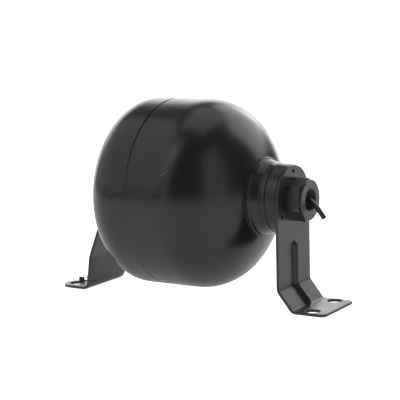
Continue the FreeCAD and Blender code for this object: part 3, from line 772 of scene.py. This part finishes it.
FRONT_WELD = lumpy(weld_outline(FRONT_DOME, COLLAR_LIP), COLLAR_LIP)
REAR_WELD = lumpy(weld_outline(REAR_DOME, REAR_COLLAR_RIM), REAR_COLLAR_RIM)
add_piece("collar", *turned(collar_outline(), 240), "vessel", ["port_collar"], TANK, "black_paint")
add_piece("spacer", *turned(spacer_outline(), 240), "vessel", ["front_spacer"], TANK, "black_paint")
add_piece("gas_collar", *turned(rear_collar_outline(), 240), "vessel", ["rear_collar"], TANK, "black_paint")
add_piece("collar_bead", *turned(FRONT_WELD, 360), "vessel", ["front_collar_weld"], WELD, "black_weld")
add_piece("gas_collar_bead", *turned(REAR_WELD, 360), "vessel", ["rear_collar_weld"], WELD, "black_weld")


# ---------------------------------------------------------------- brackets

KICK = 38.5
FRONT_BEND = 15.2
BEND_RADIUS = 2.4 + HALF_SHEET
REAR_BEND_RADIUS = 4 + HALF_SHEET
KNEE_RADIUS = 12 + HALF_SHEET
WELD_CIRCLE = 19.7
WELD_HOLE = 1.5
WELD_ANGLES = (90, 210, 330)
FOOT_HOLE = 5.25
FRONT_HOLES = {"x": 99.9, "side": 17.0}
REAR_HOLES = {"x": -102.6, "side": 14.2}
FOOT_CORNER = 4.2
EAR_RADIUS = 9.3
EAR_GAP = {"x": -94.5, "half": 4.7}
COLUMN_GAP = 2.1
RIB_BAND = 4.5
RIB_TOP = 47.0
RIB_HEIGHT = 2.9
RIB_SHIFT = 0.3
RIB_CREST = 1.0
RIB_SIDE = math.radians(60)
RIB_FOOT = 0.1


def head_holes():
    """The bore and the three weld holes in a strap's round head, as (length, across, radius)."""
    centre = STRAP_TOP - AXIS
    holes = [(centre, 0.0, RING_BORE)]
    for angle in map(math.radians, WELD_ANGLES):
        holes.append((centre - WELD_CIRCLE * math.sin(angle), WELD_CIRCLE * math.cos(angle), WELD_HOLE))
    return holes


def front_line():
    kick = math.radians(KICK)
    rest = math.radians(90 - KICK)
    face = FRONT_FACE
    bend_low = FRONT_BEND - SHEET * math.tan(kick / 2)
    heel = face + (FRONT_BEND - SHEET) * math.tan(kick)
    heel_low = heel - SHEET * math.tan(rest / 2)
    corners = [
        (face - HALF_SHEET, STRAP_TOP),
        (face - HALF_SHEET, (FRONT_BEND + bend_low) / 2, BEND_RADIUS),
        ((heel + heel_low) / 2, HALF_SHEET, BEND_RADIUS),
        (FOOT_END, HALF_SHEET),
    ]
    return StrapLine(corners, 1)


def rear_line():
    """The rear strap leans out below the vessel, and less steeply below its knee."""
    splay, lean = math.radians(21.7), math.radians(7.5)
    splay_top, knee_height = 52.0, 25.4
    knee = REAR_FACE - (splay_top - knee_height) * math.tan(splay)
    heel = knee - (knee_height - SHEET) * math.tan(lean)
    miter = HALF_SHEET / math.cos((splay - lean) / 2)
    mean = (splay + lean) / 2
    corners = [
        (REAR_FACE + HALF_SHEET, STRAP_TOP),
        (REAR_FACE + HALF_SHEET, splay_top - HALF_SHEET * math.tan(splay / 2), REAR_BEND_RADIUS),
        (knee + miter * math.cos(mean), knee_height - miter * math.sin(mean), KNEE_RADIUS),
        (heel + HALF_SHEET * (1 - math.sin(lean)) / math.cos(lean), HALF_SHEET, REAR_BEND_RADIUS),
        (-FOOT_END, HALF_SHEET),
    ]
    return StrapLine(corners, -1)


def foot_holes(line, holes):
    foot = line.foot_place(holes["x"])
    return [(foot, -holes["side"], FOOT_HOLE), (foot, holes["side"], FOOT_HOLE)]


def grid_points(rows, columns):
    return [(row, column) for row in rows for column in columns]


def front_bracket():
    line = front_line()
    length = line.length
    corners = [
        (0, -HALF_STRAP, HALF_STRAP),
        (length, -HALF_STRAP, FOOT_CORNER),
        (length, HALF_STRAP, FOOT_CORNER),
        (0, HALF_STRAP, HALF_STRAP),
    ]
    outline = divide(thin_out(soften(corners, support=0, spacing=0.7)), 1.6)
    holes = head_holes() + foot_holes(line, FRONT_HOLES)

    heel_end = line.bends()[1][1]
    tip = STRAP_TOP - RIB_TOP
    side_columns = [k * COLUMN_GAP for k in range(-11, 12) if abs(k * COLUMN_GAP) > RIB_BAND]
    rib_columns = [k * 0.27 for k in range(-13, 14)]
    rows = rows_for(line)
    rib_rows = [tip - 1.5 + k * 0.45 for k in range(20)]
    rib_rows += [heel_end - 1 + k * 0.45 for k in range(9)]
    rows = sorted([r for r in rows if all(abs(r - q) > 0.3 for q in rib_rows)] + rib_rows)
    grid = grid_points(rows, side_columns)
    grid += grid_points([r for r in rows if r > tip - 2], rib_columns)
    grid += grid_points([r for r in rows if r <= tip - 2], [-COLUMN_GAP, 0, COLUMN_GAP])
    verts, faces = sheet_blank(outline, holes, grid)

    def rib(place, across):
        """How far the pressed rib lifts the sheet, from 0 to 1: a round crest between steep sides."""
        beside = math.hypot(across - RIB_SHIFT, 0.55 * max(0.0, tip + 4 - place))
        if beside < RIB_CREST * math.sin(RIB_SIDE):
            fall = RIB_CREST - math.sqrt(RIB_CREST**2 - beside**2)
        else:
            fall = RIB_CREST * (1 - math.cos(RIB_SIDE))
            fall += (beside - RIB_CREST * math.sin(RIB_SIDE)) * math.tan(RIB_SIDE)
        lift = 1 - fall / RIB_HEIGHT
        if lift < RIB_FOOT:
            lift = max(0.0, lift + RIB_FOOT) ** 2 / (4 * RIB_FOOT)
        return lift * (1 - smoothstep(heel_end - 2.5, heel_end + 1.8, place))

    def crest(place, height):
        """The ridge's own line, which rounds the bends more gently than the strap does."""
        window = [line.offset(place + k, height + RIB_HEIGHT) for k in (-4, -3, -2, -1, 0, 1, 2, 3, 4)]
        return sum(window, Vector((0, 0))) / len(window)

    placed = []
    for place, across, height in verts:
        point = line.offset(place, height)
        lift = rib(place, across)
        if lift > 0:
            point = point.lerp(crest(place, height), lift)
        placed.append((point.x, across, point.y))
    return placed, faces


def rear_bracket():
    line = rear_line()
    length = line.length
    half_gap = EAR_GAP["half"]
    gap_end = line.foot_place(EAR_GAP["x"])
    corners = [
        (0, -HALF_STRAP, HALF_STRAP),
        (length, -HALF_STRAP, EAR_RADIUS),
        (length, -half_gap, EAR_RADIUS),
        (gap_end, -half_gap, half_gap),
        (gap_end, half_gap, half_gap),
        (length, half_gap, EAR_RADIUS),
        (length, HALF_STRAP, EAR_RADIUS),
        (0, HALF_STRAP, HALF_STRAP),
    ]
    outline = divide(thin_out(soften(corners, support=0, spacing=0.7)), 1.6)
    holes = head_holes() + foot_holes(line, REAR_HOLES)
    columns = [k * COLUMN_GAP for k in range(-11, 12)]
    verts, faces = sheet_blank(outline, holes, grid_points(rows_for(line), columns))
    placed = []
    for place, across, height in verts:
        point = line.offset(place, height)
        placed.append((point.x, across, point.y))
    return placed, faces


def weld_nuggets(start, top):
    """Three low domes of weld metal, one at the bottom of each weld hole, from start out to top."""
    verts, faces = [], []
    steps = 24
    for angle in map(math.radians, WELD_ANGLES):
        centre_y = WELD_CIRCLE * math.cos(angle)
        centre_z = AXIS + WELD_CIRCLE * math.sin(angle)
        rings = []
        for share, height in ((1.0, 0.0), (0.98, 0.45), (0.85, 0.72), (0.6, 0.88), (0.3, 0.98)):
            rings.append(list(range(len(verts), len(verts) + steps)))
            for k in range(steps):
                turn = 2 * math.pi * k / steps
                reach = share * (WELD_HOLE - 0.02)
                verts.append(
                    (
                        start + (top - start) * height,
                        centre_y + reach * math.cos(turn),
                        centre_z + reach * math.sin(turn),
                    )
                )
        for ring, following in zip(rings, rings[1:]):
            faces += strip(ring, following)
        faces.append(tuple(rings[0]))
        faces.append(tuple(rings[-1]))
    return verts, faces


FRONT_NUGGETS = weld_nuggets(*node_ends("front_plug_welds"))
REAR_NUGGETS = weld_nuggets(*reversed(node_ends("rear_plug_welds")))
add_piece("port_strap", *front_bracket(), "vessel", ["front_bracket"], BRACKET, "black_paint")
add_piece("gas_strap", *rear_bracket(), "vessel", ["rear_bracket"], BRACKET, "black_paint")
add_piece("port_nuggets", *FRONT_NUGGETS, "vessel", ["front_plug_welds"], WELD, "black_weld")
add_piece("gas_nuggets", *REAR_NUGGETS, "vessel", ["rear_plug_welds"], WELD, "black_weld")


# ---------------------------------------------------------------- the port fitting, its plug and the gas end

HEX_APOTHEM = 13.5
HEX_CORNER = 15.2
HEX_BEVEL = 0.7
SHANK_RADIUS = 10.0
THREAD_PITCH = 1.337
THREAD_DEPTH = 0.55
SEAT = 12.2


def hexagon(turn):
    """A ring shape that cuts a ring down to a hexagon with one corner at the angle turn."""

    def shape(place, radius, angle):
        corner = (math.degrees(angle) - turn) % 60 - 30
        return min(radius, HEX_APOTHEM / math.cos(math.radians(corner)))

    return shape


def hex_run(start, end, turn):
    """The rings of a spanner hexagon with turned-off corners."""
    shape = hexagon(turn)
    low = HEX_CORNER - HEX_BEVEL * 1.6
    sign = math.copysign(1, end - start)
    run = []
    for k in range(7):
        share = k / 6
        run.append((start + sign * HEX_BEVEL * share, low + (HEX_CORNER - low) * math.sqrt(share), shape))
    for k in range(7):
        share = 1 - k / 6
        run.append((end - sign * HEX_BEVEL * share, low + (HEX_CORNER - low) * math.sqrt(share), shape))
    return run


def thread(place, radius, angle):
    """A ring shape that cuts a screw thread outwards into a bore."""
    phase = (place / THREAD_PITCH + angle / (2 * math.pi)) % 1
    return radius + THREAD_DEPTH * (1 - abs(2 * phase - 1)) ** 1.3


def fitting_outline():
    face = FRONT_FACE
    inner, front = node_ends("port_fitting")
    flange, undercut, port, mouth, chamfer = 14.2, 13.1, 7.6, 0.6, 0.4
    hex_length, undercut_length, port_depth, feed, hex_turn = 11.2, 0.9, 21, 4.2, 21.8
    hex_end = face + hex_length
    flange_back = hex_end + undercut_length
    floor = front - port_depth
    rim = soften(
        [
            (flange_back, undercut, 0.25),
            (flange_back, flange, 0.25),
            (front - chamfer, flange, 0.3),
            (front, flange - chamfer, 0.3),
            (front, port + mouth, 0.25),
            (front - mouth, port),
        ],
        support=0.12,
    )
    bore = [(front - mouth - 0.15 - k * 0.12, port, thread) for k in range(40)]
    shank = [(floor, port), (floor, feed), (inner, feed), (inner, SHANK_RADIUS), (face, SHANK_RADIUS)]
    return shank + [(face, SEAT)] + hex_run(face, hex_end, hex_turn) + [(hex_end, undercut)] + rim + bore


def plug_outline():
    back, face = node_ends("port_plug")
    radius, wall = 7.52, 1.4
    outline = [
        (back, radius - wall, 0.2),
        (back, radius - 1, 0.3),
        (back + 1, radius, 0.3),
        (face - 0.5, radius, 0.4),
        (face - 0.3, radius - 1.6, 0.3),
        (face, radius - 2.2, 0.3),
        (face, 1.9, 0.3),
        (face, 0),
        (face - wall, 0),
        (face - wall, radius - wall, 0.3),
    ]
    return soften(outline, support=0.1)


def pull_tail():
    """The tail's own line: level at the plug, then drooping over the port's rim."""
    start = node_ends("port_plug")[1]
    low, high = node_box("pull_tail")
    radius = (high.y - low.y) / 2
    droop, curl, bend, sweep = 44.5, 8.3, 5.5, 14.0
    path = [(start - 0.6, AXIS), (start + 0.6, AXIS), (start + 1.2, AXIS), (start + 1.7, AXIS)]

    def turn_down(radius, first, last, count):
        x, z = path[-1]
        for k in range(1, count + 1):
            angle = math.radians(first + (last - first) * k / count)
            before = math.radians(first)
            across = radius * (math.sin(angle) - math.sin(before))
            path.append((x + across, z + radius * (math.cos(angle) - math.cos(before))))

    def run_on(slope, reaches):
        x, z = path[-1]
        for reach in reaches:
            path.append((x + reach * math.cos(slope), z - reach * math.sin(slope)))

    turn_down(bend, 0.0, droop, 7)
    run_on(math.radians(droop), (1.25, 2.5, 3.75, 5.0))
    turn_down(sweep, droop, droop + curl, 3)
    run_on(math.radians(droop + curl), (1.6, 3.2, 4.8, 5.9, 6.6, 6.95, 7.15))
    radii = [radius] * len(path)
    radii[0] = radius * 1.2
    radii[1] = radius * 1.05
    for k, share in zip((-4, -3, -2, -1), (1.0, 0.99, 0.92, 0.76)):
        radii[k] = radius * share
    return swept(path, radii)


def boss_outline():
    outer, inner = node_ends("charging_boss")
    hex_end = REAR_FACE - 4
    spigot, screw_bore, gas_bore = 10.5, 7.0, 2.0
    floor = outer + 8
    spigot_run = [(hex_end, spigot), (outer, spigot, 0.4), (outer, screw_bore, 0.2), (floor, screw_bore)]
    back = [(floor, gas_bore), (inner, gas_bore), (inner, SHANK_RADIUS), (REAR_FACE, SHANK_RADIUS)]
    return hex_run(REAR_FACE, hex_end, 0.0) + soften(spigot_run, support=0) + back + [(REAR_FACE, SEAT)]


def cap_outline():
    end, mouth = node_ends("charging_cap")
    inside, wall, rim = 10.6, 1.3, 1.2
    outside = inside + wall
    outline = [
        (mouth, inside, 0.3),
        (mouth, outside + rim, 0.35),
        (mouth - rim, outside + rim, 0.35),
        (mouth - rim - 0.2, outside, 0.4),
        (end, outside, 1.3),
        (end, 7.4, 0.3),
        (end + 0.35, 6.9, 0.3),
        (end + 0.35, 0),
        (end + wall, 0),
        (end + wall, inside, 0.6),
    ]
    return soften(outline, support=0.12)


def extruded(outline, start, end, edge=0.12):
    """A bar of constant (y, z) outline between two places, with its end edges rounded."""
    normals = inward(outline, True)
    verts, rings = [], []
    for inset, place in ((edge, start), (0.0, start + edge), (0.0, end - edge), (edge, end)):
        rings.append(list(range(len(verts), len(verts) + len(outline))))
        verts += [(place, y, z) for y, z in inset_loop(outline, normals, inset)]
    faces = [tuple(rings[0]), tuple(rings[-1])]
    for ring, following in zip(rings, rings[1:]):
        faces += strip(ring, following)
    return verts, faces


def foot_clip():
    """A spring clip over the ear's inner edge, with a finger that stands up at the hole."""
    low, high = node_box("foot_clip")
    thickness = 0.6
    edge = high.y - thickness
    outline = [
        (edge, low.z, 0.1),
        (high.y, low.z, 0.2),
        (high.y, SHEET + thickness, 0.5),
        (low.y + thickness, SHEET + thickness, 0.25),
        (low.y + thickness, high.z, 0.25),
        (low.y, high.z, 0.2),
        (low.y, SHEET, 0.1),
        (edge, SHEET, 0.05),
    ]
    return extruded(soften(outline, support=0), low.x, high.x)


add_piece("adapter", *turned(fitting_outline(), 360), "vessel", ["port_fitting"], FITTING, "black_fitting")
# The plug wears the darker copy of its plastic, painted shade, and the tail the lighter copy, a painted
# highlight.
add_piece("shipping_plug", *turned(plug_outline(), 96), "plug", ["port_plug"], PLUG_SHADED, "plug_plastic")
add_piece("plug_tail", *pull_tail(), "plug", ["pull_tail"], TAIL_LIT, "plug_plastic")
add_piece("gas_neck", *turned(boss_outline(), 360), "vessel", ["charging_boss"], FITTING, "black_fitting")
add_piece("gas_cap", *turned(cap_outline(), 160), "cap", ["charging_cap"], CAP, "cap_plastic")
add_piece("clip", *foot_clip(), "vessel", ["foot_clip"], SPRING_STEEL, "spring_steel")


# ---------------------------------------------------------------- CAD nodes that stay as they are


def dress(node, material):
    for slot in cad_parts[node].material_slots:
        slot.material = material


for hidden_node, hidden_material in (
    ("clamp_ring", BARE_STEEL),
    ("diaphragm", RUBBER),
    ("diaphragm_button", BARE_STEEL),
    ("port_seal", RUBBER),
    ("charging_seal", RUBBER),
    ("charging_screw", BARE_STEEL),
):
    dress(hidden_node, hidden_material)


# ---------------------------------------------------------------- stage, light and camera


FLOOR_REACH = 3.0
FLOOR_SIDES = 96
PANEL_DISTANCE = 1.6
# Brightness of the floor's own glow and of the studio's walls, as the camera sees them and as they
# light the vessel.
FLOOR_SHOWN, FLOOR_GLOW = 0.92, 0.45
WALLS_SHOWN, WALLS_FILL = 1.0, 0.15


def seen_or_lit(tree, shown, lit):
    """A brightness with one value for the camera and another for light and reflections."""
    path = tree.nodes.new("ShaderNodeLightPath")
    brightness = tree.nodes.new("ShaderNodeMapRange")
    tree.links.new(path.outputs["Is Camera Ray"], brightness.inputs["Value"])
    brightness.inputs["To Min"].default_value = lit
    brightness.inputs["To Max"].default_value = shown
    return brightness.outputs["Result"]


def floor_material():
    """A plain pale floor that takes the panels' light and shadow and shows white to the camera."""
    surface = Surface("pale_floor")
    surface.colour(surface.ramp(surface.noise(400, 2), ((0.3, 0.84), (0.7, 0.86))))
    surface.shader.inputs["Roughness"].default_value = 0.9
    surface.shader.inputs["Emission Color"].default_value = (1, 1, 1, 1)
    glow = seen_or_lit(surface.tree, FLOOR_SHOWN, FLOOR_GLOW)
    surface.link(glow, surface.shader.inputs["Emission Strength"])
    return surface.material


def add_floor():
    mesh = bpy.data.meshes.new("floor")
    rim = arc((0, 0), FLOOR_REACH, 0, 360, FLOOR_SIDES)[:-1]
    mesh.from_pydata([(x, y, 0) for x, y in rim], [], [tuple(range(FLOOR_SIDES))])
    mesh.materials.append(floor_material())
    floor = bpy.data.objects.new("floor", mesh)
    bpy.context.scene.collection.objects.link(floor)


def add_surroundings():
    """A white studio whose walls light the vessel with a low, even fill."""
    world = bpy.data.worlds.new("studio")
    world.use_nodes = True
    tree = world.node_tree
    walls = tree.nodes["Background"]
    walls.inputs["Color"].default_value = (1, 1, 1, 1)
    tree.links.new(seen_or_lit(tree, WALLS_SHOWN, WALLS_FILL), walls.inputs["Strength"])
    bpy.context.scene.world = world


def add_softbox(name, turn, rise, width, height, radiance):
    """A soft panel facing the vessel: its angle round from -Y towards +X and its angle up, in degrees."""
    turn, rise = math.radians(turn), math.radians(rise)
    away = Vector((math.sin(turn) * math.cos(rise), -math.cos(turn) * math.cos(rise), math.sin(rise)))
    light = bpy.data.lights.new(name, "AREA")
    light.shape = "RECTANGLE"
    light.size = width
    light.size_y = height
    light.energy = radiance * math.pi * width * height
    lamp = bpy.data.objects.new(name, light)
    lamp.location = away * PANEL_DISTANCE + Vector((0, 0, AXIS / 1000))
    lamp.rotation_euler = away.to_track_quat("Z", "Y").to_euler()
    lamp.visible_camera = False
    bpy.context.scene.collection.objects.link(lamp)


AZIMUTH = math.radians(31.8)
ELEVATION = math.radians(9.3)
ROLL = math.radians(-1.5)
# The camera looks at this point, in metres, from this far away.
AIM = Vector((0.003, -0.0035, 0.071))
CAMERA_DISTANCE = 1.0
LENS = 124.7


def add_camera():
    towards = Vector(
        (
            math.sin(AZIMUTH) * math.cos(ELEVATION),
            -math.cos(AZIMUTH) * math.cos(ELEVATION),
            math.sin(ELEVATION),
        )
    )
    level = Vector((math.cos(AZIMUTH), math.sin(AZIMUTH), 0))
    upright = towards.cross(level)
    right = level * math.cos(ROLL) + upright * math.sin(ROLL)
    up = upright * math.cos(ROLL) - level * math.sin(ROLL)
    data = bpy.data.cameras.new("camera")
    data.lens = LENS
    data.sensor_width = 36.0
    camera = bpy.data.objects.new("camera", data)
    turn = Matrix((right, up, towards)).transposed().to_4x4()
    camera.matrix_world = Matrix.Translation(AIM + towards * CAMERA_DISTANCE) @ turn
    bpy.context.scene.collection.objects.link(camera)
    bpy.context.scene.camera = camera


add_floor()
add_surroundings()
add_softbox("left_key", turn=-15, rise=35, width=0.5, height=2.4, radiance=0.6)
add_softbox("left_wall", turn=-60, rise=35, width=2.2, height=2.0, radiance=0.7)
add_softbox("right_key", turn=75, rise=20, width=0.8, height=1.6, radiance=0.6)
add_softbox("backdrop", turn=-140, rise=15, width=2.4, height=1.0, radiance=2.1)
add_softbox("back_top", turn=165, rise=32, width=1.5, height=1.1, radiance=1.8)
add_softbox("overhead", turn=180, rise=75, width=1.2, height=1.2, radiance=0.8)
add_camera()
bpy.context.scene.view_settings.view_transform = "Standard"
